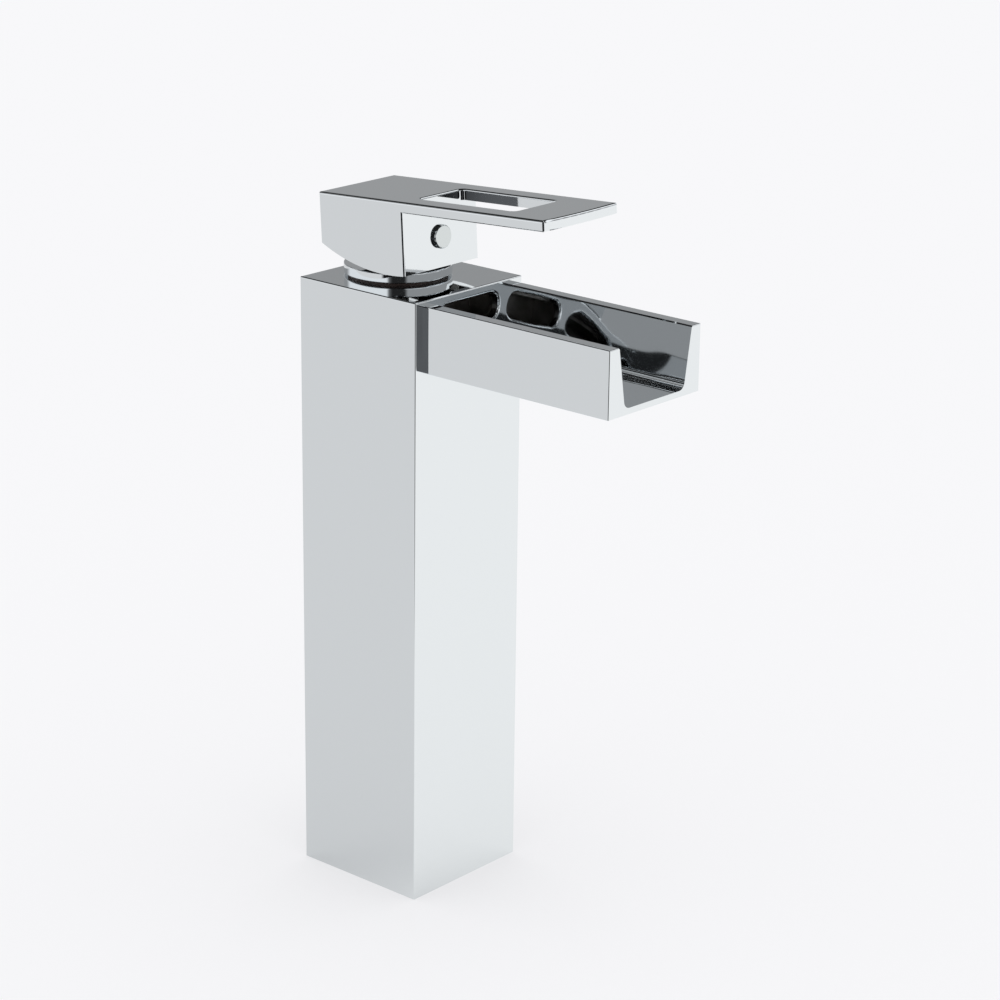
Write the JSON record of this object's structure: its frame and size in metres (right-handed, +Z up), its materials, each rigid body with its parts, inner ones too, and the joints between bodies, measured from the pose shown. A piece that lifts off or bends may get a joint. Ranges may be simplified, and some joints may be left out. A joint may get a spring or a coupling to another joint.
{
  "type": "waterfall basin faucet",
  "caption": "Tall square single-lever basin mixer with an open waterfall trough spout and a flat lever with a window.",
  "frame": {"origin": "mouth of the fixing stud hole, at the centre of the column's foot, on the deck's surface", "axes": "+Z up along the column; the spout and the lever point to -Y, towards the user; +X is the user's right"},
  "size_m": [0.055, 0.1368, 0.2575],
  "materials": {
    "chrome_body": "polished chrome plating on brass",
    "chrome_spout": "polished chrome plating on brass",
    "chrome_lever": "polished chrome plating on brass",
    "chrome_ring": "polished chrome plating on brass",
    "chrome_plug": "polished chrome plating",
    "cast_brass": "raw cast brass",
    "copper_tube": "drawn copper tube",
    "duct_metal": "dull nickel-plated brass",
    "screw_steel": "stainless steel",
    "brown_fibre": "dark brown fibre washer",
    "black_rubber": "soft black rubber",
    "white_plastic": "moulded white plastic",
    "grey_plastic": "moulded grey plastic",
    "ceramic": "lapped ceramic"
  },
  "bodies": {
    "faucet_body": {"column_body": "chrome_body", "base_block": "cast_brass", "base_gasket": "black_rubber", "base_screws": "screw_steel", "hot_riser": "copper_tube", "cold_riser": "copper_tube", "riser_seals": "black_rubber", "valve_block": "cast_brass", "cartridge_housing": "white_plastic", "cartridge_base": "grey_plastic", "cartridge_seals": "black_rubber", "fixed_disc": "ceramic", "cartridge_nut": "duct_metal", "seat_washer": "brown_fibre", "cover_ring": "chrome_ring", "outlet_duct": "duct_metal", "duct_seal": "black_rubber", "spout_trough": "chrome_spout", "spout_seal": "black_rubber", "spout_screws": "screw_steel"},
    "turning_carrier": {"stem_carrier": "grey_plastic", "pivot_pin": "screw_steel"},
    "sliding_disc": {"disc_driver": "grey_plastic", "moving_disc": "ceramic"},
    "lever": {"lever_stem": "duct_metal", "lever_handle": "chrome_lever", "grub_screw": "screw_steel", "screw_plug": "chrome_plug"}
  },
  "joints": [
    {"name": "handle_turn", "type": "hinge", "parent": "faucet_body", "child": "turning_carrier", "pos_m": [0, 0.0062, 0.2225], "axis": [0, 0, 1], "range_deg": [-45, 45]},
    {"name": "handle_lift", "type": "hinge", "parent": "turning_carrier", "child": "lever", "pos_m": [0, 0.0062, 0.2215], "axis": [-1, 0, 0], "range_deg": [0, 18]},
    {"name": "disc_slide", "type": "slide", "parent": "turning_carrier", "child": "sliding_disc", "axis": [0, -1, 0], "range_m": [0, 0.0037]}
  ],
  "couplings": [
    {"joint": "disc_slide", "follows": "handle_lift", "m_per_rad": 0.011675}
  ]
}
